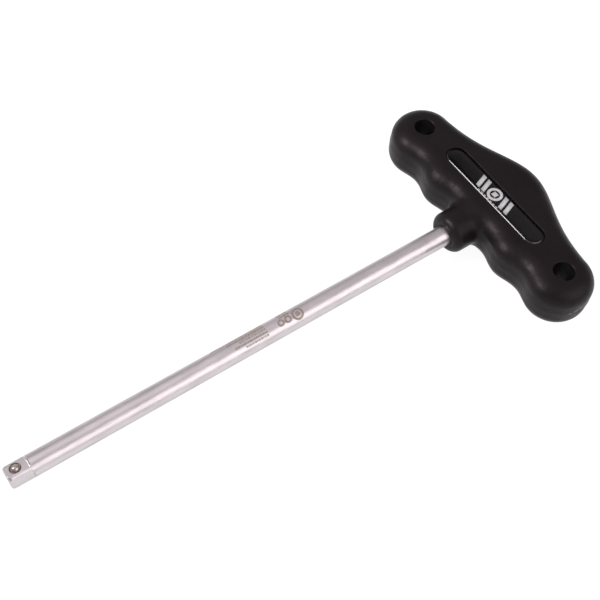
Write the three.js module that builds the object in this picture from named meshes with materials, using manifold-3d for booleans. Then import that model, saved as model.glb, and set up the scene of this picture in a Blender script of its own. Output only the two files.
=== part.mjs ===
// T-handle square drive wrench: a round steel shank with a 6.35 mm (1/4 in) external square and a
// spring-loaded detent ball, moulded into a black T-shaped grip with two hanging holes and a domed
// badge in a pocket on each face.
//
// Units are millimetres. The origin is the centre of the drive's end face. +X runs along the shank
// from the drive to the grip, +Y along the bar of the T, and +Z out of the front badge. The square
// isn't lined up with the grip: the whole drive end is turned a little about the shank's axis.
import * as THREE from "three";
import { mergeVertices } from "three/addons/utils/BufferGeometryUtils.js";
import Module from "manifold-3d";

const wasm = await Module();
wasm.setup();

// Driving dimensions
const SHANK_D = 8;
const SHANK_END_X = 218;
const SHANK_CHAMFER = 0.7;
const TIP_ROUND = 0.9;
const DRIVE_AF = 6.35;
const DRIVE_LENGTH = 7.4;
const DRIVE_RUNOUT_R = 0.85;
const DRIVE_TURN_DEG = 10;
const WING_SPAN = 12;
const WING_THICKNESS = 2.6;
const WING_START_X = 200;
const WING_LENGTH = 11;
const BALL_D = 3;
const BALL_X = 3.6;
const BALL_PROUD = 1;
const BALL_CLEARANCE = 0.04;
const BALL_HOLE_FLOOR_Z = -2.2;
const SPRING_WIRE_D = 0.35;
const SPRING_MEAN_D = 2.2;
const SPRING_TURNS = 5;
const SPRING_GAP = 0.03;
const HOLE_X = 204.4;
const HOLE_SPACING = 82.8;
const HANG_HOLE_D = 8.2;
const HANG_HOLE_EDGE = 0.5;
const LOBE_HALF_WIDTH = 13.1;
const LOBE_HALF_LENGTH = 12.9;
const LOBE_OFFSET = 0.2;
const GRIP_THICKNESS = 20.6;
const GRIP_EDGE_R = 6.8;
const GRIP_DRAFT_DEG = 2;
const FINGER_WAVE = 1.1;
const CROWN_HEIGHT = 11.7;
const CROWN_SPREAD = 22.8;
const BOSS_D = 16.6;
const BOSS_FACE_X = 182.9;
const BOSS_EDGE_R = 3;
const BOSS_FLARE = 1.3;
const BADGE_X = 205.9;
const POCKET_LENGTH = 54;
const POCKET_WIDTH = 9;
const POCKET_DEPTH = 1.6;
const BADGE_GAP = 0.15;
const FOIL_THICKNESS = 0.4;
const DOME_HEIGHT = 1.05;
const MOULD_GAP = 0.1;
const LAYER_GAP = 0.02;

const HALF_T = GRIP_THICKNESS / 2;
const HALF_AF = DRIVE_AF / 2;
const LOBE_Y = HOLE_SPACING / 2;
const FINGER_PITCH = HOLE_SPACING / 4;
const BALL_Z = HALF_AF + BALL_PROUD - BALL_D / 2;
const ROUND_SEGMENTS = 48;
const DRIVE_TURN = -THREE.MathUtils.degToRad(DRIVE_TURN_DEG);

// Solids and geometries

function solid(geometry) {
  const bare = geometry.index ? geometry.toNonIndexed() : geometry;
  const merged = mergeVertices(
    new THREE.BufferGeometry().setAttribute("position", bare.getAttribute("position")),
    1e-4,
  );
  const corners = merged.index.array;
  const real = [];
  for (let i = 0; i < corners.length; i += 3) {
    const [a, b, c] = corners.slice(i, i + 3);
    if (a !== b && b !== c && c !== a) real.push(a, b, c);
  }
  return new wasm.Manifold(
    new wasm.Mesh({
      numProp: 3,
      vertProperties: new Float32Array(merged.attributes.position.array),
      triVerts: new Uint32Array(real),
    }),
  );
}

function geometryOf(body) {
  const { vertProperties, triVerts } = body.getMesh();
  const geometry = new THREE.BufferGeometry();
  geometry.setAttribute("position", new THREE.BufferAttribute(vertProperties.slice(), 3));
  geometry.setIndex(new THREE.BufferAttribute(triVerts.slice(), 1));
  geometry.computeVertexNormals();
  return geometry;
}

// A turned body lying along X, from [x, radius] pairs that start and end on the axis.
function turnedAlongX(profile, segments = ROUND_SEGMENTS) {
  const points = profile.map(([x, radius]) => new THREE.Vector2(radius, x));
  return new THREE.LatheGeometry(points, segments).rotateZ(-Math.PI / 2);
}

// A turned body standing along Z, from [z, radius] pairs that start and end on the axis.
function turnedAlongZ(profile, segments = ROUND_SEGMENTS) {
  const points = profile.map(([z, radius]) => new THREE.Vector2(radius, z));
  return new THREE.LatheGeometry(points, segments).rotateX(Math.PI / 2);
}

// A quarter round from the face at x = start to the outside at the given radius.
function roundedShoulder(start, radius, edge, steps) {
  return Array.from({ length: steps + 1 }, (_, i) => {
    const turn = ((i / steps) * Math.PI) / 2;
    return [start + edge * (1 - Math.cos(turn)), radius - edge * (1 - Math.sin(turn))];
  });
}

// The outline moved inward along its own normals, closer in than any of its hollows is tight.
function drawnIn(outline, inset) {
  const n = outline.length;
  return outline.map((point, i) => {
    const before = outline[(i + n - 1) % n];
    const after = outline[(i + 1) % n];
    const inward = new THREE.Vector2(before.y - after.y, after.x - before.x).normalize();
    return point.clone().addScaledVector(inward, inset);
  });
}

// Skins a stack of drawn-in copies of one outline from the lowest level to the highest.
function stacked(outline, levels) {
  const n = outline.length;
  const rings = levels.map(({ inset }) => drawnIn(outline, inset));
  const positions = rings.flatMap((ring, i) => ring.flatMap(({ x, y }) => [x, y, levels[i].z]));
  const faces = [];
  for (let level = 0; level < levels.length - 1; level++) {
    for (let i = 0; i < n; i++) {
      const a = level * n + i;
      const b = level * n + ((i + 1) % n);
      faces.push(a, b, b + n, a, b + n, a + n);
    }
  }
  const top = (levels.length - 1) * n;
  for (const [a, b, c] of THREE.ShapeUtils.triangulateShape(rings[0], [])) faces.push(c, b, a);
  for (const [a, b, c] of THREE.ShapeUtils.triangulateShape(rings.at(-1), [])) {
    faces.push(a + top, b + top, c + top);
  }
  const geometry = new THREE.BufferGeometry();
  geometry.setAttribute("position", new THREE.Float32BufferAttribute(positions, 3));
  geometry.setIndex(faces);
  geometry.computeVertexNormals();
  return geometry;
}

// Outlines in the plane of the T, counter-clockwise seen from +Z

function arc(cx, cy, r, from, sweep, steps) {
  return Array.from({ length: steps }, (_, i) => {
    const turn = from + (sweep * i) / steps;
    return new THREE.Vector2(cx + r * Math.cos(turn), cy + r * Math.sin(turn));
  });
}

function gripOutline() {
  const FAR_STEPS = 32;
  const NEAR_STEPS = 48;
  const LOBE_STEPS = 18;
  const middle = HOLE_X + LOBE_OFFSET;
  const bell = (y) => Math.exp(-((y / CROWN_SPREAD) ** 2));
  const lobe = (y, from) =>
    arc(0, 0, 1, from, Math.PI, LOBE_STEPS).map(
      (p) => new THREE.Vector2(middle + LOBE_HALF_WIDTH * p.x, y + LOBE_HALF_LENGTH * p.y),
    );
  const far = Array.from({ length: FAR_STEPS }, (_, i) => {
    const y = -LOBE_Y + (HOLE_SPACING * i) / FAR_STEPS;
    const crown = CROWN_HEIGHT * (bell(y) - bell(LOBE_Y) * (y / LOBE_Y) ** 2);
    return new THREE.Vector2(middle + LOBE_HALF_WIDTH + crown, y);
  });
  const near = Array.from({ length: NEAR_STEPS }, (_, i) => {
    const y = LOBE_Y - (HOLE_SPACING * i) / NEAR_STEPS;
    const hollow = FINGER_WAVE * (1 - Math.cos((2 * Math.PI * y) / FINGER_PITCH));
    return new THREE.Vector2(middle - LOBE_HALF_WIDTH + hollow, y);
  });
  return [...far, ...lobe(LOBE_Y, 0), ...near, ...lobe(-LOBE_Y, Math.PI)];
}

function obround(length, width) {
  const END_STEPS = 14;
  const r = width / 2;
  const reach = length / 2 - r;
  const ends = [
    [reach, 0],
    [-reach, Math.PI],
  ];
  return ends.flatMap(([y, from]) => [
    ...arc(BADGE_X, y, r, from, Math.PI, END_STEPS),
    new THREE.Vector2(BADGE_X + r * Math.cos(from + Math.PI), y),
  ]);
}

// Shank, with its square drive, ball hole and moulded-in wings

function shankBlank() {
  const r = SHANK_D / 2;
  return solid(
    turnedAlongX([
      [0, 0],
      ...roundedShoulder(0, r, TIP_ROUND, 4),
      [SHANK_END_X - SHANK_CHAMFER, r],
      [SHANK_END_X, r - SHANK_CHAMFER],
      [SHANK_END_X, 0],
    ]),
  );
}

// Takes one flat off the round bar, with a concave run-out where the milling cutter lifts.
function flatCutter(turn) {
  const OUT = SHANK_D;
  const shape = new THREE.Shape();
  shape.moveTo(-1, HALF_AF);
  shape.lineTo(DRIVE_LENGTH, HALF_AF);
  for (let i = 1; i <= 6; i++) {
    const a = (i / 6) * (Math.PI / 2);
    shape.lineTo(
      DRIVE_LENGTH + DRIVE_RUNOUT_R * Math.sin(a),
      HALF_AF + DRIVE_RUNOUT_R * (1 - Math.cos(a)),
    );
  }
  shape.lineTo(DRIVE_LENGTH + DRIVE_RUNOUT_R, OUT);
  shape.lineTo(-1, OUT);
  const cutter = new THREE.ExtrudeGeometry(shape, { depth: SHANK_D * 2, bevelEnabled: false });
  return solid(cutter.translate(0, 0, -SHANK_D).rotateX(turn));
}

// The ball's hole: straight below the ball's middle, closing over its shoulder to hold it in.
function ballHole() {
  const r = BALL_D / 2 + BALL_CLEARANCE;
  const rise = HALF_AF - BALL_Z;
  const lip = Array.from({ length: 5 }, (_, i) => {
    const h = (rise * i) / 4;
    return [BALL_Z + h, Math.sqrt(r * r - h * h)];
  });
  const profile = [[BALL_HOLE_FLOOR_Z, 0], [BALL_HOLE_FLOOR_Z, r], ...lip];
  profile.push([HALF_AF + 1, lip.at(-1)[1]], [HALF_AF + 1, 0]);
  return solid(turnedAlongZ(profile, 32).translate(BALL_X, 0, 0));
}

function wings(gap) {
  return solid(
    new THREE.BoxGeometry(
      WING_LENGTH + 2 * gap,
      WING_SPAN + 2 * gap,
      WING_THICKNESS + 2 * gap,
    ).translate(WING_START_X + WING_LENGTH / 2, 0, 0),
  );
}

function shank() {
  let cuts = ballHole();
  for (let i = 0; i < 4; i++) cuts = cuts.add(flatCutter((i * Math.PI) / 2));
  const turn = solid(geometryOf(cuts).rotateX(DRIVE_TURN));
  return shankBlank().subtract(turn).add(wings(0));
}

// Detent

function detentBall() {
  return new THREE.SphereGeometry(BALL_D / 2, 32, 20).translate(BALL_X, 0, BALL_Z).rotateX(DRIVE_TURN);
}

class Coil extends THREE.Curve {
  constructor(bottom, top) {
    super();
    Object.assign(this, { bottom, top });
  }

  getPoint(t, target = new THREE.Vector3()) {
    const turn = t * SPRING_TURNS * 2 * Math.PI;
    const r = SPRING_MEAN_D / 2;
    const z = THREE.MathUtils.lerp(this.bottom, this.top, t);
    return target.set(r * Math.cos(turn), r * Math.sin(turn), z);
  }
}

// A round wire wound up from the floor of the hole until it meets the underside of the ball.
function detentSpring() {
  const wire = SPRING_WIRE_D / 2;
  const bottom = BALL_HOLE_FLOOR_Z + wire + SPRING_GAP;
  const touch = BALL_D / 2 + wire + SPRING_GAP;
  const top = BALL_Z - Math.sqrt(touch ** 2 - (SPRING_MEAN_D / 2) ** 2);
  return new THREE.ExtrudeGeometry(new THREE.Shape(arc(0, 0, wire, 0, 2 * Math.PI, 6)), {
    steps: SPRING_TURNS * 14,
    extrudePath: new Coil(bottom, top),
    bevelEnabled: false,
  })
    .translate(BALL_X, 0, 0)
    .rotateX(DRIVE_TURN);
}

// Grip

function gripBar() {
  const FILLET_STEPS = 6;
  const straight = HALF_T - GRIP_EDGE_R;
  const draft = straight * Math.tan(THREE.MathUtils.degToRad(GRIP_DRAFT_DEG));
  const upper = Array.from({ length: FILLET_STEPS + 1 }, (_, i) => {
    const turn = ((i / FILLET_STEPS) * Math.PI) / 2;
    return {
      z: straight + GRIP_EDGE_R * Math.sin(turn),
      inset: draft + GRIP_EDGE_R * (1 - Math.cos(turn)),
    };
  });
  const lower = upper.map(({ z, inset }) => ({ z: -z, inset })).reverse();
  return solid(stacked(gripOutline(), [...lower, { z: 0, inset: 0 }, ...upper]));
}

// The round boss where the shank enters, flaring a little as it runs into the bar.
function boss() {
  const r = BOSS_D / 2;
  const bar = HOLE_X + LOBE_OFFSET - LOBE_HALF_WIDTH;
  const flare = Array.from({ length: 6 }, (_, i) => {
    const t = i / 5;
    return [bar - 1.4 + 3.4 * t, r + BOSS_FLARE * t * t];
  });
  return solid(
    turnedAlongX([
      [BOSS_FACE_X, 0],
      ...roundedShoulder(BOSS_FACE_X, r, BOSS_EDGE_R, 5),
      ...flare,
      [HOLE_X, r + BOSS_FLARE],
      [HOLE_X, 0],
    ]),
  );
}

function hangHole(y) {
  const r = HANG_HOLE_D / 2;
  const e = HANG_HOLE_EDGE;
  return solid(
    turnedAlongZ(
      [
        [-HALF_T - 1, 0],
        [-HALF_T - 1, r + e + 1],
        [-HALF_T + e, r],
        [HALF_T - e, r],
        [HALF_T + 1, r + e + 1],
        [HALF_T + 1, 0],
      ],
      32,
    ).translate(HOLE_X, y, 0),
  );
}

function badgePocket(side) {
  const shape = obround(POCKET_LENGTH, POCKET_WIDTH);
  const levels = [HALF_T - POCKET_DEPTH, HALF_T + 1].map((z) => ({ z: side * z, inset: 0 }));
  return solid(stacked(shape, side > 0 ? levels : levels.reverse()));
}

// The space the grip leaves for the shank it is moulded round.
function shankBore() {
  const r = SHANK_D / 2 + MOULD_GAP;
  const end = SHANK_END_X + MOULD_GAP;
  return solid(
    turnedAlongX([
      [BOSS_FACE_X - 1, 0],
      [BOSS_FACE_X - 1, r],
      [end, r],
      [end, 0],
    ]),
  ).add(wings(MOULD_GAP));
}

function grip() {
  return gripBar()
    .add(boss())
    .subtract(shankBore())
    .subtract(hangHole(LOBE_Y))
    .subtract(hangHole(-LOBE_Y))
    .subtract(badgePocket(1))
    .subtract(badgePocket(-1));
}

// Badges: a printed foil on the floor of each pocket and a clear dome cast over it

function badgeOutline() {
  return obround(POCKET_LENGTH - 2 * BADGE_GAP, POCKET_WIDTH - 2 * BADGE_GAP);
}

function badgeLayer(side, levels) {
  const body = stacked(badgeOutline(), levels);
  return side > 0 ? body : body.rotateY(Math.PI).translate(2 * BADGE_X, 0, 0);
}

function badgeFoil(side) {
  const z = HALF_T - POCKET_DEPTH + LAYER_GAP;
  return badgeLayer(side, [
    { z, inset: 0 },
    { z: z + FOIL_THICKNESS, inset: 0 },
  ]);
}

function badgeDome(side) {
  const z = HALF_T - POCKET_DEPTH + FOIL_THICKNESS + 2 * LAYER_GAP;
  const MENISCUS = [
    [0, 0],
    [0.4, 0],
    [0.65, 0.18],
    [0.82, 0.55],
    [0.92, 1.1],
    [0.98, 1.9],
    [1, 2.9],
  ];
  return badgeLayer(
    side,
    MENISCUS.map(([rise, inset]) => ({ z: z + rise * DOME_HEIGHT, inset })),
  );
}

// Materials

const steel = new THREE.MeshStandardMaterial({ color: 0xc9c6c8, metalness: 1, roughness: 0.28 });
const ballSteel = new THREE.MeshStandardMaterial({ color: 0xd8d8da, metalness: 1, roughness: 0.12 });
const springSteel = new THREE.MeshStandardMaterial({ color: 0x8f8f92, metalness: 1, roughness: 0.35 });
const plastic = new THREE.MeshStandardMaterial({ color: 0x232021, metalness: 0, roughness: 0.55 });
const foil = new THREE.MeshStandardMaterial({ color: 0x0c0c0d, metalness: 0, roughness: 0.3 });
const resin = new THREE.MeshStandardMaterial({
  color: 0xe8edf0,
  metalness: 0,
  roughness: 0.04,
  transparent: true,
  opacity: 0.2,
});

function piece(name, geometry, material) {
  const mesh = new THREE.Mesh(geometry, material);
  mesh.name = name;
  return mesh;
}

const tool = new THREE.Group();
tool.name = "t_handle_driver";
tool.add(
  piece("shank", geometryOf(shank()), steel),
  piece("detent_ball", detentBall(), ballSteel),
  piece("detent_spring", detentSpring(), springSteel),
  piece("grip", geometryOf(grip()), plastic),
  piece("badge_foil_front", badgeFoil(1), foil),
  piece("badge_dome_front", badgeDome(1), resin),
  piece("badge_foil_back", badgeFoil(-1), foil),
  piece("badge_dome_back", badgeDome(-1), resin),
);

export default tool;
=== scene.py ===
"""Looks of the T-handle square drive wrench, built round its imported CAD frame.

Shapes are worked out in millimetres and scaled to metres when a mesh is made. The axes are the
part's own: +X from the drive to the grip, +Y along the bar of the T, +Z out of the front badge.
"""
import itertools
import math

import bmesh
import bpy
import numpy as np
from mathutils import Matrix, Vector
from mathutils.kdtree import KDTree


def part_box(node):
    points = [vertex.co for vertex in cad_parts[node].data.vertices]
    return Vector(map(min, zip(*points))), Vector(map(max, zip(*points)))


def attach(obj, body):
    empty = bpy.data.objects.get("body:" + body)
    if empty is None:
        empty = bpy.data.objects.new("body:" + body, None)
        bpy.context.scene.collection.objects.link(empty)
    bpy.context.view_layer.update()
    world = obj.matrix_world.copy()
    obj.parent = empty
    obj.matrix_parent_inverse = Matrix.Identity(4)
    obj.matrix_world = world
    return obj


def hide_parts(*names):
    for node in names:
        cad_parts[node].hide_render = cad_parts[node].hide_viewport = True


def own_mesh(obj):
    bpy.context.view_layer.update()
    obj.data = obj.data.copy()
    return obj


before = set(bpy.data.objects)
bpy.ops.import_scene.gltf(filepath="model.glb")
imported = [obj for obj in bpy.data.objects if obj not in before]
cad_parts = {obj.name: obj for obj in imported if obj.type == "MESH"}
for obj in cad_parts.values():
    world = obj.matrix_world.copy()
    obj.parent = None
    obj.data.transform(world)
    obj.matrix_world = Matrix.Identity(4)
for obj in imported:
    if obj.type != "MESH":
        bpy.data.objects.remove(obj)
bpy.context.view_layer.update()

MM = 0.001


def box_mm(node):
    """Lowest and highest corner of a CAD node, in millimetres."""
    low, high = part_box(node)
    return np.array(low) / MM, np.array(high) / MM


# Sizes read from the frame
GRIP_LOW, GRIP_HIGH = box_mm("grip")
SHANK_HIGH = box_mm("shank")[1]
BALL_LOW, BALL_HIGH = box_mm("detent_ball")
FOIL_LOW, FOIL_HIGH = box_mm("badge_foil_front")
DOME_LOW, DOME_HIGH = box_mm("badge_dome_front")
SHANK_R = SHANK_HIGH[2]
BALL_CENTRE = (BALL_LOW + BALL_HIGH) / 2
BALL_R = (BALL_HIGH[0] - BALL_LOW[0]) / 2
BALL_RISE = math.hypot(BALL_CENTRE[1], BALL_CENTRE[2])
DRIVE_TURN = math.atan2(BALL_CENTRE[1], BALL_CENTRE[2])
HALF_T = GRIP_HIGH[2]
BADGE_X = (FOIL_LOW[0] + FOIL_HIGH[0]) / 2
BADGE_HALF_WIDTH = (FOIL_HIGH[0] - FOIL_LOW[0]) / 2
BADGE_HALF_LENGTH = (FOIL_HIGH[1] - FOIL_LOW[1]) / 2

# Sizes of the CAD part that its boxes don't show
HALF_AF = 3.175
DRIVE_LENGTH = 7.4
RUNOUT_R = 0.85
TIP_ROUND = 0.9
SHANK_CHAMFER = 0.7
BALL_CLEARANCE = 0.04
BALL_HOLE_FLOOR = -2.2
SPRING_WIRE_R = 0.175
SPRING_R = 1.1
SPRING_TURNS = 5
SPRING_GAP = 0.03
HOLE_X = 204.4
HOLE_SPACING = 82.8
HANG_HOLE_R = 4.1
LOBE_OFFSET = 0.2
LOBE_HALF_WIDTH = 13.1
LOBE_HALF_LENGTH = 12.9
CROWN_HEIGHT = 11.7
CROWN_SPREAD = 22.8
FINGER_WAVE = 1.1
GRIP_EDGE = 6.8
GRIP_DRAFT = math.radians(2)
BOSS_R = 8.3
BOSS_EDGE = 3.0
POCKET_GAP = 0.15
POCKET_DEPTH = 1.6
LOBE_Y = HOLE_SPACING / 2
GRIP_MIDDLE_X = HOLE_X + LOBE_OFFSET

# The grip's edges and fine details in the looks, some of them finer than the CAD has
GRIP_PITCH = 0.4
LEAST_STEEPNESS = 0.3  # keeps a point from jumping where two roundings meet
HANG_HOLE_EDGE = 0.6
POCKET_EDGE = 0.3
BORE_EDGE = 0.35
BOSS_FILLET = 2.4
BORE_GAP = 0.05
FLASH_HEIGHT = 0.04
FLASH_WIDTH = 0.16
GATE_R = 1.9
GATE_DEPTH = 0.25
GATE_EDGE = 0.2
GATE_STUB_R = 0.9
GATE_STUB_DROP = 0.12
GATE_STUB_EDGE = 0.15
GATE_TEARS = [  # from and to along the wall, from and to up it, half width
    (-3.6, -1.2, 0.9, 1.5, 0.3), (-2.2, 0.2, 1.8, 2.3, 0.34), (-5.2, -3.4, 0.2, 0.5, 0.2),
    (0.6, 3.0, 2.0, 2.4, 0.24), (-1.4, 0.6, -1.6, -1.3, 0.12),
]
TEAR_HEIGHT = 0.05
TEAR_ROOT = 0.1
TEAR_TIP = 0.15  # share of its size that a sliver still has at its ends

# The shank's edges and fine details, likewise
TIP_LENGTH = 1.3  # the tip's rounding is drawn out along the bar, as on a polished tool
FLAT_EDGE = 0.2
END_SHRINK = 0.85
DRILL_POINT = (0.4, 0.3)  # depth and end radius
STAKE_GROOVE = [  # radius, and height over the flat
    (1.53, 0.5), (1.53, -0.10), (1.62, -0.26), (1.75, -0.30),
    (1.90, -0.24), (2.00, -0.08), (2.06, 0.05), (2.06, 0.5),
]
ETCH_RISE = 0.006
ETCH_SINK = 0.02
ETCH_STEP = 0.2
ETCHED_DASHES = (0.45, 0.25, 0.6, 0.3, 0.2)
ETCHED_GAP = 0.16
ETCHED_ROWS = [  # start and end along the bar, degrees round it, height of the dashes
    (78.5, 100, 42, 1.1), (84.5, 100, 22, 1.0), (89, 100, 3, 0.9), (86.5, 100, -15, 0.8),
    (90.5, 100, -33, 0.7), (106.0, 110.6, 42, 1.3), (106.0, 110.6, 20, 1.1),
]
ETCHED_TARGETS = [  # place along the bar, and each ring's outer and inner radius
    (113.2, [(2.4, 1.5), (1.0, 0.05)]), (109.0, [(1.5, 0.7)]), (106.0, [(1.4, 0.65)]),
]
TARGETS_AROUND = -10  # degrees round the bar

# The badges' details, where a rise is a share of the resin's whole height
FOIL_EDGE = 0.12
INK = 0.03
BADGE_RIM = 0.52
PRINT_RISE = 0.55  # where the print seems to lie
RIM_WALL = [(0.0, 0.0), (0.0, 0.3), (0.0, 0.40), (0.01, 0.43)]  # inset and height
MENISCUS_START = (0.03, 0.45)
MENISCUS_RUN = (0.45, 0.39)
MENISCUS_BULGE = 0.02
SHOULDER_RISE = 0.87
INNER_WALL_RISE = 0.86
CROWN_GAP = 0.05
EMBLEM_SHIFT = 0.35
EMBLEM_RING = (3.2, 2.0)
EMBLEM_HALF_SQUARE = 1.1
EMBLEM_BARS_AT = (5.1, 8.0)
EMBLEM_BAR = (5.9, 1.9, 1.0)  # length, width and lean
BADGE_DASHES = 7
BADGE_DASH_SHIFT = -3.3
BADGE_DASH_PITCH = 1.7
BADGE_DASH = (0.4, 1.15, 0)

WELD_REACH = 0.001

# Turns sharper than these are drawn as edges, not as smooth surfaces
SHARP_CUT = math.radians(32)
SHARP_BADGE = math.radians(50)

# Light and surfaces
WARM_WHITE = (1.0, 0.94, 0.952)
NOISE_RANGE = (0.32, 0.68)  # what a noise texture mostly stays within
SNOOT_ANGLE = math.radians(37)


# Materials


class Shader:
    """A material in the making: its Principled node, and helpers that wire nodes into it."""

    def __init__(self, name):
        self.material = bpy.data.materials.new(name)
        self.material.use_nodes = True
        self.nodes = self.material.node_tree.nodes
        self.links = self.material.node_tree.links
        self.bsdf = self.nodes["Principled BSDF"]
        self.place = None

    def set(self, **values):
        """Values that are the same all over, each on the shader's own socket."""
        for socket, value in values.items():
            self.bsdf.inputs[socket.replace("_", " ")].default_value = value
        return self

    def add(self, kind, **settings):
        """A new node of that kind, with its settings."""
        node = self.nodes.new(kind)
        for key, value in settings.items():
            setattr(node, key, value)
        return node

    def coordinates(self, stretch):
        """Places in the piece's own frame, in millimetres, divided by the stretch along each axis."""
        if self.place is None:
            self.place = self.add("ShaderNodeTexCoord")
        scale = self.add("ShaderNodeMapping")
        scale.inputs["Scale"].default_value = [1 / (MM * s) for s in stretch]
        self.links.new(self.place.outputs["Object"], scale.inputs["Vector"])
        return scale.outputs["Vector"]

    def noise(self, stretch, detail=3.0, roughness=0.55):
        """A noise from about 0 to 1, whose grain has that size in millimetres along each axis."""
        node = self.add("ShaderNodeTexNoise")
        node.inputs["Scale"].default_value = 1.0
        node.inputs["Detail"].default_value = detail
        node.inputs["Roughness"].default_value = roughness
        self.links.new(self.coordinates(stretch), node.inputs["Vector"])
        return self.spread(node.outputs["Fac"], 0, 1, NOISE_RANGE)

    def spread(self, value, low, high, given=(0, 1)):
        """A value in the given range taken to low..high."""
        node = self.add("ShaderNodeMapRange")
        node.inputs["From Min"].default_value = given[0]
        node.inputs["From Max"].default_value = given[1]
        node.inputs["To Min"].default_value = low
        node.inputs["To Max"].default_value = high
        self.links.new(value, node.inputs["Value"])
        return node.outputs["Result"]

    def colours(self, value, low, high):
        """The base colour, mixed from two by the value."""
        node = self.add("ShaderNodeMix", data_type="RGBA")
        node.inputs["A"].default_value = (*low, 1.0)
        node.inputs["B"].default_value = (*high, 1.0)
        self.links.new(value, node.inputs["Factor"])
        self.links.new(node.outputs["Result"], self.bsdf.inputs["Base Color"])
        return self

    def roughness(self, value, low, high):
        """The roughness, from low to high by the value."""
        self.links.new(self.spread(value, low, high), self.bsdf.inputs["Roughness"])
        return self

    def bump(self, value, height_mm):
        """A bump of that height by the value, on top of any that is there already."""
        node = self.add("ShaderNodeBump")
        node.inputs["Distance"].default_value = height_mm * MM
        self.links.new(value, node.inputs["Height"])
        previous = self.bsdf.inputs["Normal"].links
        if previous:
            self.links.new(previous[0].from_socket, node.inputs["Normal"])
        self.links.new(node.outputs["Normal"], self.bsdf.inputs["Normal"])
        return self


def satin_steel():
    """Satin chrome over fine polishing lines that run along the bar."""
    # Its grey specular tint dims the reflections at the bar's grazing edges: painted shade, standing in
    # for the reflection of the bar's own shadow on the table.
    s = Shader("satin_chrome_steel").set(Metallic=1.0, Specular_Tint=(0.72, 0.70, 0.71, 1.0))
    s.colours(s.noise((9, 3, 3)), (0.575, 0.545, 0.56), (0.67, 0.636, 0.652))
    s.roughness(s.noise((6, 0.25, 0.25)), 0.27, 0.40)
    s.bump(s.noise((5, 0.16, 0.16), detail=4), 0.008)
    s.bump(s.noise((3.2, 1.3, 1.3), detail=5, roughness=0.65), 0.03)
    return s.material


def polished_ball():
    """Hardened steel with a bright polish and a brown tint."""
    s = Shader("ball_steel").set(Metallic=1.0)
    s.colours(s.noise((0.8, 0.8, 0.8)), (0.40, 0.34, 0.31), (0.58, 0.51, 0.47))
    s.roughness(s.noise((0.3, 0.3, 0.3)), 0.08, 0.2)
    s.bump(s.noise((0.5, 0.08, 0.08)), 0.004)
    return s.material


def cut_steel_painted_shade():
    """Bare steel where the plating was cut or punched through, darkened further as painted shade for
    the hollows of the ball's hole and the punch's groove.
    """
    s = Shader("cut_steel_painted_shade").set(Metallic=0.9)
    # The dark colours are painted shade, in the ball's hole and the punch's groove round it.
    s.colours(s.noise((0.5, 0.5, 0.5)), (0.10, 0.075, 0.065), (0.26, 0.21, 0.19))
    s.roughness(s.noise((0.2, 0.2, 0.2)), 0.25, 0.45)
    s.bump(s.noise((0.15, 0.15, 0.15)), 0.008)
    return s.material


def spring_wire():
    """Drawn wire, dull and dark."""
    s = Shader("spring_wire").set(Metallic=1.0)
    s.colours(s.noise((0.3, 0.3, 0.3)), (0.20, 0.20, 0.21), (0.34, 0.34, 0.35))
    s.roughness(s.noise((0.1, 0.1, 0.1)), 0.3, 0.45)
    s.bump(s.noise((0.05, 0.05, 0.3)), 0.004)
    return s.material


def etched_steel():
    """Laser marking: the steel oxidised to a dull warm brown."""
    s = Shader("etched_steel").set(Metallic=0.75)
    s.colours(s.noise((0.5, 0.25, 0.25)), (0.23, 0.19, 0.165), (0.40, 0.345, 0.31))
    s.roughness(s.noise((0.2, 0.2, 0.2)), 0.45, 0.6)
    s.bump(s.noise((0.1, 0.1, 0.1)), 0.006)
    return s.material


def moulded_plastic():
    """Black moulding with a fine satin grain and faint flow variation in its gloss."""
    s = Shader("grip_plastic").set(Specular_IOR_Level=0.15, Specular_Tint=(1.0, 0.89, 0.93, 1.0))
    s.colours(s.noise((14, 14, 14), detail=2), (0.0052, 0.0040, 0.0046), (0.0074, 0.0058, 0.0065))
    s.roughness(s.noise((4, 4, 4), detail=5, roughness=0.7), 0.31, 0.45)
    s.bump(s.noise((0.3, 0.3, 0.3), detail=2), 0.016)
    s.bump(s.noise((2.5, 2.5, 2.5), detail=2), 0.05)
    return s.material


def torn_plastic():
    """The same plastic where it was torn, rough and whitened by the strain."""
    s = Shader("torn_plastic").set(Specular_IOR_Level=0.3)
    s.colours(s.noise((0.4, 0.4, 0.4)), (0.10, 0.09, 0.095), (0.34, 0.30, 0.32))
    s.roughness(s.noise((0.3, 0.3, 0.3)), 0.45, 0.65)
    s.bump(s.noise((0.1, 0.1, 0.1)), 0.03)
    return s.material


def printed_foil():
    """The badge's black print, glossy as the resin that lies over it."""
    s = Shader("badge_print").set(Specular_IOR_Level=0.42)
    s.colours(s.noise((3, 3, 3)), (0.0045, 0.0028, 0.0042), (0.0065, 0.0045, 0.0062))
    s.roughness(s.noise((1, 1, 1)), 0.08, 0.16)
    s.bump(s.noise((0.3, 0.3, 0.3)), 0.002)
    return s.material


def white_ink():
    """White ink, with a little light of its own, so that it comes out bright enough."""
    s = Shader("badge_ink").set(Emission_Color=(1.0, 0.98, 1.0, 1.0), Emission_Strength=0.16)
    s.colours(s.noise((0.6, 0.6, 0.6)), (0.90, 0.89, 0.91), (0.96, 0.95, 0.97))
    s.roughness(s.noise((0.4, 0.4, 0.4)), 0.35, 0.5)
    s.bump(s.noise((0.2, 0.2, 0.2)), 0.002)
    return s.material


def resin_rim():
    """The resin's sloping rim, where the black print under it shows as its own colour."""
    s = Shader("resin_rim").set(Specular_IOR_Level=0.75)
    s.colours(s.noise((2, 2, 2)), (0.022, 0.018, 0.021), (0.030, 0.025, 0.029))
    s.roughness(s.noise((1.5, 1.5, 1.5)), 0.11, 0.15)
    s.bump(s.noise((1.2, 1.2, 1.2)), 0.0006)
    return s.material


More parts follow.
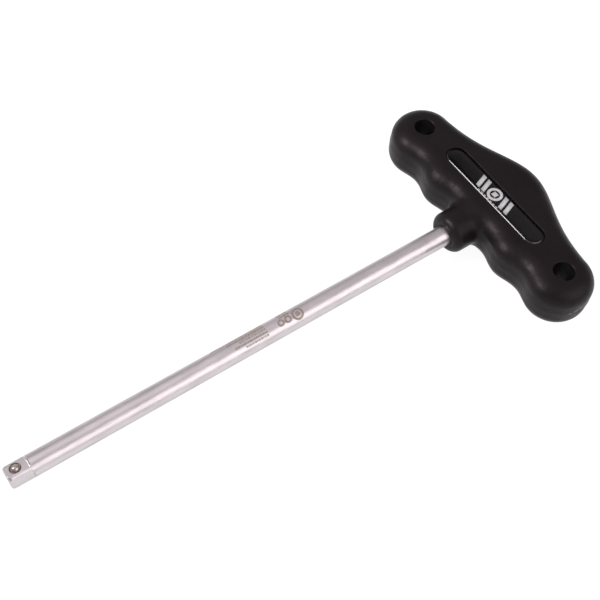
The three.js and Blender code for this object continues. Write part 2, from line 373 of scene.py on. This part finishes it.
def clear_resin():
    """Clear cast resin, glossy only where it is seen aslant. From above, the gloss is the print's."""
    s = Shader("badge_resin")
    clear = s.add("ShaderNodeBsdfTransparent")
    gloss = s.add("ShaderNodeBsdfGlossy")
    fresnel = s.add("ShaderNodeFresnel")
    mix = s.add("ShaderNodeMixShader")
    clear.inputs["Color"].default_value = (0.97, 0.98, 0.98, 1.0)
    fresnel.inputs["IOR"].default_value = 1.46
    s.links.new(s.spread(s.noise((1.5, 1.5, 1.5)), 0.02, 0.07), gloss.inputs["Roughness"])
    s.links.new(s.spread(fresnel.outputs["Fac"], 0, 1, (0.1, 1)), mix.inputs["Fac"])
    s.links.new(clear.outputs["BSDF"], mix.inputs[1])
    s.links.new(gloss.outputs["BSDF"], mix.inputs[2])
    s.links.new(mix.outputs["Shader"], s.nodes["Material Output"].inputs["Surface"])
    s.nodes.remove(s.bsdf)
    return s.material


def pale_floor():
    """A white table lit from below as well, so that nothing on it casts a hard shadow."""
    s = Shader("pale_floor").set(Roughness=0.9, Specular_IOR_Level=0.1, Emission_Strength=0.93)
    s.set(Emission_Color=(1.0, 1.0, 1.0, 1.0))
    s.colours(s.noise((300, 300, 300)), (0.13, 0.13, 0.13), (0.16, 0.16, 0.16))
    return s.material


# Meshes


def add_piece(name, vertices, faces, material, slot, stands_for=(), body="tool", normals=None):
    """A smooth mesh that rides on a body and stands for some CAD nodes, if any."""
    mesh = bpy.data.meshes.new(name)
    mesh.from_pydata((np.asarray(vertices) * MM).tolist(), [], faces)
    mesh.validate()
    mesh.shade_smooth()
    if normals is not None:
        mesh.normals_split_custom_set_from_vertices(normals.tolist())
    mesh.materials.append(material)
    piece = bpy.data.objects.new(name, mesh)
    bpy.context.scene.collection.objects.link(piece)
    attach(piece, body)
    if stands_for:
        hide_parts(*stands_for)
    return piece


def joined(parts):
    """Several (vertices, faces) shells as one."""
    vertices, faces, count = [], [], 0
    for part_vertices, part_faces in parts:
        vertices.extend(part_vertices)
        faces.extend([[i + count for i in face] for face in part_faces])
        count += len(part_vertices)
    return vertices, faces


def skinned(rings, closed_ends=True):
    """Faces over equal rings of points, each ring counter-clockwise seen from the last one's side."""
    n = len(rings[0])
    vertices = [tuple(p) for ring in rings for p in ring]
    faces = []
    for k in range(len(rings) - 1):
        for i in range(n):
            j = (i + 1) % n
            faces.append((k * n + i, k * n + j, (k + 1) * n + j, (k + 1) * n + i))
    if closed_ends:
        top = (len(rings) - 1) * n
        faces.append(tuple(range(n - 1, -1, -1)))
        faces.append(tuple(range(top, top + n)))
    return vertices, faces


def looped(rings):
    """Faces over equal rings of points, and from the last ring back to the first."""
    vertices, faces = skinned(rings, closed_ends=False)
    n = len(rings[0])
    last = (len(rings) - 1) * n
    for i in range(n):
        j = (i + 1) % n
        faces.append((last + i, last + j, j, i))
    return vertices, faces


def turned_with_drive(vertices):
    """Turns points about the shank's axis, from square with the grip to the drive's own position."""
    x, y, z = np.asarray(vertices, float).T
    c, s = math.cos(DRIVE_TURN), math.sin(DRIVE_TURN)
    return np.stack([x, y * c + z * s, z * c - y * s], 1)


# Grip, as the zero level of a distance in millimetres that is negative inside


def intersection(a, b, edge):
    """What is in both, with their common edge rounded to that radius."""
    return np.minimum(-edge, np.maximum(a, b)) + np.hypot(
        np.maximum(edge + a, 0), np.maximum(edge + b, 0)
    )


def union(a, b, fillet):
    """What is in either, with their common corner filled to that radius."""
    return -intersection(-a, -b, fillet)


def cut(a, b, edge):
    """What is in a and not in b, with the edge of the cut rounded to that radius."""
    return intersection(a, -b, edge)


def grip_outline(steps=1100):
    """The T's outline at the parting line, evenly stepped along each of its four stretches."""
    across = np.linspace(-1, 1, steps, endpoint=False)
    y = LOBE_Y * across
    bell = np.exp(-((y / CROWN_SPREAD) ** 2))
    end = math.exp(-((LOBE_Y / CROWN_SPREAD) ** 2))
    far = LOBE_HALF_WIDTH + CROWN_HEIGHT * (bell - end * across**2)
    hollow = FINGER_WAVE * (1 - np.cos(4 * math.pi * across))
    turn = np.linspace(0, math.pi, steps // 2, endpoint=False)
    lobe = np.stack([LOBE_HALF_WIDTH * np.cos(turn), LOBE_Y + LOBE_HALF_LENGTH * np.sin(turn)], 1)
    loop = np.concatenate([
        np.stack([far, y], 1),
        lobe,
        np.stack([hollow - LOBE_HALF_WIDTH, -y], 1),
        -lobe,
    ])
    return loop + (GRIP_MIDDLE_X, 0)


OUTLINE = grip_outline()
OUTLINE_NORMALS = (np.roll(OUTLINE, -1, 0) - np.roll(OUTLINE, 1, 0)) @ np.array([[0, -1], [1, 0]])
OUTLINE_NORMALS /= np.linalg.norm(OUTLINE_NORMALS, axis=1)[:, None]


def outline_tree():
    """The outline's points, ready for a search for the nearest one."""
    tree = KDTree(len(OUTLINE))
    for i, (x, y) in enumerate(OUTLINE):
        tree.insert((x, y, 0), i)
    tree.balance()
    return tree


TREE = outline_tree()


def outside_outline(x, y):
    """Signed distance to the outline and its outward direction there, for flat arrays."""
    nearest = np.array([TREE.find(p)[1] for p in zip(x, y, np.zeros(len(x)))])
    normals = OUTLINE_NORMALS[nearest]
    return ((np.stack([x, y], 1) - OUTLINE[nearest]) * normals).sum(1), normals


def grip_distance(side, x, y, z):
    """Distance to the grip, given the distance to its outline."""
    flash = FLASH_HEIGHT * (1 - np.exp(-((z / FLASH_WIDTH) ** 2)))
    wall = side + flash + np.minimum(np.abs(z), HALF_T - GRIP_EDGE) * math.tan(GRIP_DRAFT)
    bar = intersection(wall, np.abs(z) - HALF_T, GRIP_EDGE)
    radial = np.hypot(y, z)
    boss = intersection(radial - BOSS_R, GRIP_LOW[0] - x, BOSS_EDGE)
    body = union(bar, np.maximum(boss, x - HOLE_X), BOSS_FILLET)
    hole = np.hypot(x - HOLE_X, np.abs(y) - LOBE_Y) - HANG_HOLE_R
    body = cut(body, hole, HANG_HOLE_EDGE)
    reach = BADGE_HALF_LENGTH - BADGE_HALF_WIDTH
    slot = np.hypot(x - BADGE_X, np.maximum(np.abs(y) - reach, 0)) - BADGE_HALF_WIDTH - POCKET_GAP
    pocket = np.maximum(slot, HALF_T - POCKET_DEPTH - np.abs(z))
    body = cut(body, pocket, POCKET_EDGE)
    bore = np.maximum(radial - SHANK_R - BORE_GAP, x - SHANK_HIGH[0] - BORE_GAP)
    body = cut(body, bore, BORE_EDGE)
    return with_gate_mark(body, x, y, z)


def with_gate_mark(body, x, y, z):
    """The scar where the sprue was broken off one end of the bar: a dished ring round a stub."""
    end = GRIP_LOW[1]
    radial = np.hypot(x - GRIP_MIDDLE_X, z)
    dish = intersection(radial - GATE_R, y - end - GATE_DEPTH, GATE_EDGE)
    stub = intersection(radial - GATE_STUB_R, end + GATE_STUB_DROP - y, GATE_STUB_EDGE)
    stub = np.maximum(stub, y - end - 2 * GATE_DEPTH)
    return union(cut(body, dish, GATE_EDGE), stub, GATE_STUB_EDGE)


def make_gate_tear(material):
    """Slivers of torn plastic round the gate, each a low ridge that tapers to both its ends."""
    shells = []
    for start, end, z_start, z_end, half_width in GATE_TEARS:
        rings = []
        for t in np.linspace(0, 1, 9):
            fat = TEAR_TIP + (1 - TEAR_TIP) * math.sin(math.pi * t)
            dx = start + (end - start) * t
            z = z_start + (z_end - z_start) * t
            ridge = TEAR_HEIGHT * fat
            section = ((-1, -TEAR_ROOT), (-0.5, ridge), (0.5, ridge), (1, -TEAR_ROOT))
            rings.append([end_wall_point(dx, z + half_width * fat * w, out) for w, out in section])
        shells.append(skinned(rings[::-1]))
    add_piece("gate_tear", *joined(shells), material, "grip_plastic")


def end_wall_point(dx, z, out):
    """A point on the grip's end wall beside the gate, or a little out from it."""
    side = LOBE_HALF_LENGTH * math.sqrt(1 - (dx / LOBE_HALF_WIDTH) ** 2)
    side += out - abs(z) * math.tan(GRIP_DRAFT)
    return (GRIP_MIDDLE_X + dx, max(-LOBE_Y - side, GRIP_LOW[1]), z)


def grip_on_grid(axes):
    """The distance on a grid; the outline is measured once for each column."""
    x, y, z = np.ix_(*axes)
    columns = [a.ravel() for a in np.broadcast_arrays(x[..., 0], y[..., 0])]
    side = outside_outline(*columns)[0].reshape(len(axes[0]), len(axes[1]), 1)
    return grip_distance(side, x, y, z)


def grip_slope(points, step=0.01):
    """The distance at each point and its gradient, with the outline taken as straight nearby."""
    x, y, z = points.T
    side, normals = outside_outline(x, y)
    here = grip_distance(side, x, y, z)
    slope = []
    for axis, (dx, dy, dz) in enumerate(step * np.eye(3)):
        lean = step * normals[:, axis] if axis < 2 else 0
        ahead = grip_distance(side + lean, x + dx, y + dy, z + dz)
        behind = grip_distance(side - lean, x - dx, y - dy, z - dz)
        slope.append((ahead - behind) / (2 * step))
    return here, np.stack(slope, 1)


def surface_net(values, low, pitch):
    """Quads round the zero level of a grid of distances, with one corner in each crossed cell."""
    cells = tuple(n - 1 for n in values.shape)
    sums = np.zeros((*cells, 3))
    counts = np.zeros(cells)
    rings = []
    for axis in range(3):
        start = np.take(values, range(values.shape[axis] - 1), axis)
        end = np.take(values, range(1, values.shape[axis]), axis)
        crossed = (start < 0) != (end < 0)
        index = np.argwhere(crossed)
        point = index.astype(float)
        point[:, axis] += start[crossed] / (start[crossed] - end[crossed])
        ring = []
        for u, v in ((0, 0), (1, 0), (1, 1), (0, 1)):
            cell = index.copy()
            cell[:, (axis + 1) % 3] -= u
            cell[:, (axis + 2) % 3] -= v
            np.add.at(sums, tuple(cell.T), point)
            np.add.at(counts, tuple(cell.T), 1)
            ring.append(np.ravel_multi_index(tuple(cell.T), cells))
        ring = np.stack(ring, 1)
        leaving = start[crossed] < 0
        rings.append(np.where(leaving[:, None], ring, ring[:, ::-1]))
    used = counts.ravel() > 0
    number = np.cumsum(used) - 1
    points = sums.reshape(-1, 3)[used] / counts.ravel()[used][:, None]
    return low + points * pitch, number[np.concatenate(rings)]


def make_grip(material):
    """A net round the grip's zero level, drawn onto it, with normals from the level's own slope."""
    margin = 1.5 * GRIP_PITCH
    low, high = GRIP_LOW - margin, GRIP_HIGH + margin
    half_cells = np.ceil(-low[2] / GRIP_PITCH - 0.5) + 0.5
    low[2] = -half_cells * GRIP_PITCH
    axes = [np.arange(a, b + GRIP_PITCH, GRIP_PITCH) for a, b in zip(low, high)]
    points, faces = surface_net(grip_on_grid(axes), low, GRIP_PITCH)
    for _ in range(3):
        distance, slope = grip_slope(points)
        steepness = np.maximum((slope**2).sum(1), LEAST_STEEPNESS)
        points = points - slope * (distance / steepness)[:, None]
    points = np.clip(points, GRIP_LOW, GRIP_HIGH)
    slope = grip_slope(points)[1]
    normals = slope / np.linalg.norm(slope, axis=1)[:, None]
    add_piece("grip_moulding", points, faces.tolist(), material, "grip_plastic", ["grip"],
              normals=normals)


# Shank


def soft_minimum(a, b, reach):
    """The lesser of two values, eased from one to the other where they are within reach."""
    overlap = np.maximum(reach - np.abs(a - b), 0) / reach
    return np.minimum(a, b) - overlap**2 * reach / 4


def shank_radius(x, from_flat):
    """The bar's radius at x, at an angle measured from the middle of the nearest drive flat."""
    before = max(1 - x / TIP_LENGTH, 0)
    tip = SHANK_R - TIP_ROUND * (1 - math.sqrt(1 - before**2))
    past = x - DRIVE_LENGTH
    if past >= RUNOUT_R:
        return np.full_like(from_flat, tip)
    height = HALF_AF + RUNOUT_R - math.sqrt(RUNOUT_R**2 - max(past, 0) ** 2)
    return soft_minimum(tip, height / np.cos(from_flat), FLAT_EDGE)


def shank_sections():
    """Places along the bar: close together at the drive, far apart along the plain bar."""
    tip = TIP_LENGTH * (1 - np.cos(np.linspace(0, math.pi / 2, 16)))
    flats = np.linspace(TIP_LENGTH, DRIVE_LENGTH, 24)
    drive_end = DRIVE_LENGTH + RUNOUT_R
    runout = np.linspace(DRIVE_LENGTH, drive_end, 26)
    bar = np.linspace(drive_end + 0.5, SHANK_HIGH[0] - SHANK_CHAMFER, 60)
    return np.concatenate([tip, flats[1:], runout[1:], bar])


def shank_rings():
    """Sections of the bar from the tip to its far end, with a point on each edge of each flat."""
    half_flat = math.acos(HALF_AF / SHANK_R)
    flat = np.linspace(-1, 1, 57) * half_flat
    land = np.linspace(half_flat, math.pi / 2 - half_flat, 13)[1:-1]
    quarter = np.concatenate([flat, land])
    from_flat = np.concatenate([flat, np.where(land < math.pi / 4, land, land - math.pi / 2)])
    turn = np.concatenate([quarter + k * math.pi / 2 for k in range(4)])
    near = np.tile(from_flat, 4)
    rings = []
    for x in shank_sections():
        r = shank_radius(x, near)
        rings.append(np.stack([np.full_like(r, x), r * np.cos(turn), r * np.sin(turn)], 1))
    rings.append(rings[-1] * (1, END_SHRINK, END_SHRINK) + (SHANK_CHAMFER, 0, 0))
    return rings


def ring_of(z, r, steps=72):
    """A circle about the ball's hole, at a height over the shank's axis."""
    turn = np.linspace(0, 2 * math.pi, steps, endpoint=False)
    return np.stack([r * np.cos(turn), r * np.sin(turn), np.full(steps, z)], 1)


def hole_cutter():
    """The ball's hole, with a drill point below and the lip that holds the ball above."""
    clear = BALL_R + BALL_CLEARANCE
    point_depth, point_r = DRILL_POINT
    lip_rise = np.linspace(0, HALF_AF - BALL_RISE, 6)
    profile = [(BALL_HOLE_FLOOR - point_depth, point_r), (BALL_HOLE_FLOOR, clear)]
    profile += [(BALL_RISE + h, math.sqrt(clear**2 - h**2)) for h in lip_rise]
    profile += [(HALF_AF + 1, profile[-1][1])]
    return skinned([ring_of(z, r) for z, r in profile])


def stake_cutter():
    """The groove that a ring punch leaves round the hole as it closes the lip over the ball."""
    return looped([ring_of(HALF_AF + height, r) for r, height in STAKE_GROOVE])


def carve(piece, cutters, material):
    """Cuts closed shells out of a piece, for good, and leaves the cut in that material."""
    vertices, faces = joined(cutters)
    at_ball = np.asarray(vertices) + (BALL_CENTRE[0], 0, 0)
    mesh = bpy.data.meshes.new("cutter")
    mesh.from_pydata((turned_with_drive(at_ball) * MM).tolist(), [], faces)
    mesh.materials.append(material)
    cutter = bpy.data.objects.new("cutter", mesh)
    bpy.context.scene.collection.objects.link(cutter)
    modifier = piece.modifiers.new("carve", "BOOLEAN")
    modifier.operation = "DIFFERENCE"
    modifier.solver = "EXACT"
    modifier.material_mode = "TRANSFER"
    modifier.object = cutter
    graph = bpy.context.evaluated_depsgraph_get()
    carved = bpy.data.meshes.new_from_object(piece.evaluated_get(graph))
    piece.modifiers.clear()
    piece.data = carved
    bpy.data.objects.remove(cutter)
    weld(carved)
    carved.set_sharp_from_angle(angle=SHARP_CUT)


def make_shank(material, cut_material):
    """The whole bar, with its flats in its sections and the ball's hole cut out of it."""
    vertices, faces = skinned(shank_rings())
    piece = add_piece("shank_bar", turned_with_drive(vertices), faces, material,
                      "satin_chrome_steel", ["shank"])
    # The hole and the punch's groove get steel darkened with painted shade.
    carve(piece, [hole_cutter(), stake_cutter()], cut_material)


# Detent


def make_ball(material):
    """A ball as a cube's six faces blown up, so that it has no poles."""
    steps = np.tan(np.linspace(-math.pi / 4, math.pi / 4, 25))
    u, v = np.meshgrid(steps, steps, indexing="ij")
    vertices, faces, n = [], [], len(steps)
    for axis in range(3):
        for side in (1, -1):
            patch = np.empty((n, n, 3))
            patch[..., axis] = side
            patch[..., (axis + 1) % 3] = u * side
            patch[..., (axis + 2) % 3] = v
            patch /= np.linalg.norm(patch, axis=2)[..., None]
            base = len(vertices)
            vertices.extend(patch.reshape(-1, 3))
            for i in range(n - 1):
                for j in range(n - 1):
                    a = base + i * n + j
                    faces.append((a, a + n, a + n + 1, a + 1))
    place = np.asarray(vertices) * BALL_R + BALL_CENTRE
    piece = add_piece("ball_bearing", place, faces, material, "ball_steel", ["detent_ball"], "ball")
    weld(piece.data)


def weld(mesh):
    """Joins vertices that lie in the same place."""
    shell = bmesh.new()
    shell.from_mesh(mesh)
    bmesh.ops.remove_doubles(shell, verts=shell.verts, dist=WELD_REACH * MM)
    shell.to_mesh(mesh)
    shell.free()
    mesh.shade_smooth()


def make_spring(material):
    """A round wire wound up from the floor of the hole to the underside of the ball."""
    bottom = BALL_HOLE_FLOOR + SPRING_WIRE_R + SPRING_GAP
    touch = BALL_R + SPRING_WIRE_R + SPRING_GAP
    top = BALL_RISE - math.sqrt(touch**2 - SPRING_R**2)
    around = np.linspace(0, 2 * math.pi, 12, endpoint=False)
    rings = []
    for t in np.linspace(0, 1, SPRING_TURNS * 36 + 1):
        turn = 2 * math.pi * SPRING_TURNS * t
        out = np.array([math.cos(turn), math.sin(turn), 0])
        centre = SPRING_R * out + (BALL_CENTRE[0], 0, bottom + (top - bottom) * t)
        rings.append([centre + SPRING_WIRE_R * (math.cos(a) * out + (0, 0, math.sin(a)))
                      for a in around])
    vertices, faces = skinned(rings[::-1])
    piece = add_piece("spring_coil", turned_with_drive(vertices), faces, material, "spring_wire",
                      ["detent_spring"])
    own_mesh(piece)


# Badges


def slot_ring(z, inset, side, steps=24):
    """The badge's outline drawn in by an inset, at a height out of that side of the grip."""
    r = BADGE_HALF_WIDTH - inset
    reach = BADGE_HALF_LENGTH - BADGE_HALF_WIDTH
    turn = np.linspace(0, math.pi, steps)
    end = np.stack([r * np.cos(turn), reach + r * np.sin(turn)], 1)
    edge_y = np.linspace(reach, -reach, 17)[1:-1]
    edge = np.stack([np.full_like(edge_y, -r), edge_y], 1)
    loop = np.concatenate([end, edge, -end, -edge]) * (side, 1)
    return np.column_stack([loop + (BADGE_X, 0), np.full(len(loop), side * z)])


def make_foil(side, name, material):
    """The printed foil on the floor of the pocket, with its upper edge rounded."""
    low, high = FOIL_LOW[2], FOIL_HIGH[2]
    levels = [(low, 0), (high - FOIL_EDGE, 0), (high - FOIL_EDGE / 3, FOIL_EDGE / 4),
              (high - INK, FOIL_EDGE)]
    rings = [slot_ring(z, inset, side) for z, inset in levels]
    add_piece(f"printed_{name}", *skinned(rings), material, "badge_print", [name])


def dome_profile():
    """Insets and heights up the resin: a short wall, a sloping meniscus, a shoulder, a low crown."""
    (inset, rise), (run, climb) = MENISCUS_START, MENISCUS_RUN
    levels = list(RIM_WALL)
    for t in np.linspace(0, 1, 7):
        bulge = MENISCUS_BULGE * math.sin(math.pi * t)
        levels.append((inset + run * t, rise + climb * t + bulge))
    levels.append((BADGE_RIM, SHOULDER_RISE))
    crown_width = BADGE_HALF_WIDTH - CROWN_GAP - BADGE_RIM
    for t in np.linspace(0, 1, 16)[1:]:
        eased = 1 - (1 - t) ** 3
        levels.append((BADGE_RIM + crown_width * t, SHOULDER_RISE + (1 - SHOULDER_RISE) * eased))
    return levels


def dome_shell(side, profile, closed_ends=True):
    """The badge's outline carried up a profile of insets and heights."""
    height = DOME_HIGH[2] - DOME_LOW[2]
    rings = [slot_ring(DOME_LOW[2] + height * rise, inset, side) for inset, rise in profile]
    return skinned(rings, closed_ends)


def make_dome(side, name, materials):
    """A dark closed rim round a clear top, with the print at the depth that refraction gives it.

    The materials are for the rim, the clear top and the print. The print is the rim's last face.
    """
    profile = dome_profile()
    shoulder = [inset for inset, _ in profile].index(BADGE_RIM)
    inner_wall = [(BADGE_RIM, INNER_WALL_RISE), (BADGE_RIM, PRINT_RISE)]
    rim = dome_shell(side, profile[:shoulder + 1] + inner_wall)
    top_vertices, top_faces = dome_shell(side, profile[shoulder:], closed_ends=False)
    loop = len(slot_ring(0, 0, side))
    top_faces.append(tuple(range(len(top_vertices) - loop, len(top_vertices))))
    vertices, faces = joined([rim, (top_vertices, top_faces)])
    piece = add_piece(f"resin_{name}", vertices, faces, materials[0], "badge_resin", [name])
    for material in materials[1:]:
        piece.data.materials.append(material)
    rim_count = len(rim[1])
    for face in piece.data.polygons[rim_count:]:
        face.material_index = 1
    piece.data.polygons[rim_count - 1].material_index = 2
    piece.data.set_sharp_from_angle(angle=SHARP_BADGE)


def plate(loop, z_low, z_high):
    """A flat plate over a convex counter-clockwise loop."""
    return skinned([[(x, y, z) for x, y in loop] for z in (z_low, z_high)])


def band(loops, z_low, z_high):
    """A flat plate from the first to the last of some loops, each inside the one before."""
    rings = [[(x, y, z_high) for x, y in loop] for loop in loops]
    rings.insert(0, [(x, y, z_low) for x, y in loops[0]])
    rings.append([(x, y, z_low) for x, y in loops[-1]])
    return looped(rings)


def circle(cx, cy, r, steps=48):
    """A counter-clockwise loop of points."""
    turn = np.linspace(0, 2 * math.pi, steps, endpoint=False)
    return [(cx + r * math.cos(a), cy + r * math.sin(a)) for a in turn]


def leaning_bar(cx, cy, length, width, lean):
    """A bar along X, sheared along Y."""
    a, b = length / 2, width / 2
    return [(cx - a, cy - b - lean), (cx + a, cy - b + lean), (cx + a, cy + b + lean),
            (cx - a, cy + b - lean)]


def badge_marks():
    """A plain emblem: a ring with a square in it, between pairs of leaning bars, over a dashed line."""
    x = BADGE_X + EMBLEM_SHIFT
    half = EMBLEM_HALF_SQUARE
    low = DOME_LOW[2] + PRINT_RISE * (DOME_HIGH[2] - DOME_LOW[2])
    high = low + INK
    ring = [circle(x, 0, r) for r in EMBLEM_RING]
    square = [(x + half * a, half * b) for a, b in ((-1, -1), (1, -1), (1, 1), (-1, 1))]
    shapes = [band(ring, low, high), plate(square, low, high)]
    for y in EMBLEM_BARS_AT:
        for side in (1, -1):
            shapes.append(plate(leaning_bar(x, side * y, *EMBLEM_BAR), low, high))
    for k in range(BADGE_DASHES):
        y = BADGE_DASH_PITCH * (k - BADGE_DASHES // 2)
        shapes.append(plate(leaning_bar(BADGE_X + BADGE_DASH_SHIFT, y, *BADGE_DASH), low, high))
    return joined(shapes)


def make_badges():
    """A badge on each face, the front one with its marks."""
    foil, ink, rim, resin = printed_foil(), white_ink(), resin_rim(), clear_resin()
    for side, name in ((1, "front"), (-1, "back")):
        make_foil(side, f"badge_foil_{name}", foil)
        make_dome(side, f"badge_dome_{name}", (rim, resin, foil))
    vertices, faces = badge_marks()
    add_piece("badge_marks_front", vertices, faces, ink, "badge_print")


# Marks etched on the shank


def wrapped(vertices, along, around):
    """Flat shapes laid on the bar: x stays, y becomes an arc, z is the height over the steel."""
    x, y, z = np.asarray(vertices, float).T
    turn = math.radians(around) + y / SHANK_R
    r = SHANK_R + z
    return np.stack([x + along, r * np.sin(turn), r * np.cos(turn)], 1)


def dash_row(start, end, height):
    """A row of plain dashes whose lengths repeat, each cut into strips that can follow the bar."""
    shapes = []
    x = start
    for length in itertools.cycle(ETCHED_DASHES):
        if x + length > end:
            return shapes
        corners = [(x, -ETCH_SINK), (x + length, -ETCH_SINK), (x + length, ETCH_RISE), (x, ETCH_RISE)]
        edges = np.linspace(-height / 2, height / 2, 5)[::-1]
        shapes.append(skinned([[(along, y, z) for along, z in corners] for y in edges]))
        x += length + ETCHED_GAP


def etched_rings(along, around, radii):
    """A ring for each pair of radii, in steps narrow enough to follow the bar."""
    shells = []
    for outer, inner in radii:
        steps = np.linspace(outer, inner, math.ceil((outer - inner) / ETCH_STEP) + 1)
        vertices, faces = band([circle(0, 0, r) for r in steps], -ETCH_SINK, ETCH_RISE)
        shells.append((wrapped(vertices, along, around), faces))
    return shells


def make_shank_marks(material):
    """Two plain etched blocks: five rows of dashes, and three targets beside two short rows."""
    shells = []
    for start, end, around, height in ETCHED_ROWS:
        vertices, faces = joined(dash_row(start, end, height))
        shells.append((wrapped(vertices, 0, around), faces))
    for along, radii in ETCHED_TARGETS:
        shells.extend(etched_rings(along, TARGETS_AROUND, radii))
    add_piece("shank_marks", *joined(shells), material, "satin_chrome_steel")


# Stage, lights and camera


def make_floor():
    """A plain table top just under the tool."""
    half_side = 2.5  # in metres
    gap = 0.05
    mesh = bpy.data.meshes.new("floor")
    z = (GRIP_LOW[2] - gap) * MM
    corners = [(half_side * x, half_side * y, z) for x, y in ((-1, -1), (1, -1), (1, 1), (-1, 1))]
    mesh.from_pydata(corners, [], [(0, 1, 2, 3)])
    mesh.materials.append(pale_floor())
    floor = bpy.data.objects.new("floor", mesh)
    bpy.context.scene.collection.objects.link(floor)


def soft_light(name, place, aim, size, radiance):
    """A soft box, with its place and aim in millimetres, its size in metres."""
    light = bpy.data.lights.new(name, "AREA")
    light.shape = "RECTANGLE"
    light.size, light.size_y = size
    light.energy = radiance * math.pi * size[0] * size[1]
    light.color = WARM_WHITE
    box = bpy.data.objects.new(name, light)
    box.location = Vector(place) * MM
    box.rotation_euler = (Vector(aim) - Vector(place)).to_track_quat("-Z", "Y").to_euler()
    bpy.context.scene.collection.objects.link(box)


def soft_spot(name, place, aim, radius, radiance):
    """A round lamp with a snoot, which lights little but what it is aimed at."""
    light = bpy.data.lights.new(name, "SPOT")
    light.shadow_soft_size = radius
    light.energy = radiance * (2 * math.pi * radius) ** 2
    light.spot_size = SNOOT_ANGLE
    light.spot_blend = 0.3
    light.color = WARM_WHITE
    lamp = bpy.data.objects.new(name, light)
    lamp.location = Vector(place) * MM
    lamp.rotation_euler = (Vector(aim) - Vector(place)).to_track_quat("-Z", "Y").to_euler()
    bpy.context.scene.collection.objects.link(lamp)


def make_lights():
    """A broad box in front of the bar, two weak ones over it, and a lamp on the grip's near side."""
    bar, grip = (105, 0, 0), (205, 0, 0)
    soft_light("front", (380, -665, 540), bar, (1.0, 0.78), 1.45)
    soft_light("over_bar", (150, 400, 640), (150, 399, 0), (0.75, 1.1), 0.25)
    soft_light("over_drive", (20, 180, 600), (20, 60, 0), (0.36, 0.5), 0.42)
    soft_spot("side", (-135, 165, 244), grip, 0.1, 18)
    world = bpy.data.worlds.new("studio")
    world.use_nodes = True
    background = world.node_tree.nodes["Background"]
    background.inputs["Color"].default_value = (*WARM_WHITE, 1)
    background.inputs["Strength"].default_value = 0.5
    bpy.context.scene.world = world


def make_camera():
    """Above the drive, on its -Y side, looking along the shank towards the grip."""
    place = Vector((-8.55, -143.32, 306.15)) * MM
    target = Vector((118.88, 5.49, 0)) * MM
    roll = math.radians(6.914)
    data = bpy.data.cameras.new("camera")
    data.lens = 59.49
    data.sensor_width = 36
    data.clip_start = 0.01
    camera = bpy.data.objects.new("camera", data)
    aim = (target - place).to_track_quat("-Z", "Y").to_matrix()
    turn = Matrix.Rotation(roll, 3, "Z")
    camera.matrix_world = Matrix.Translation(place) @ (aim @ turn).to_4x4()
    bpy.context.scene.collection.objects.link(camera)
    bpy.context.scene.camera = camera


# The model

make_grip(moulded_plastic())
make_gate_tear(torn_plastic())
# The steel cut into the shank is painted dark, as painted shade in its hollows.
make_shank(satin_steel(), cut_steel_painted_shade())
make_ball(polished_ball())
make_spring(spring_wire())
make_badges()
make_shank_marks(etched_steel())
make_floor()
make_lights()
make_camera()
bpy.context.scene.view_settings.view_transform = "Standard"
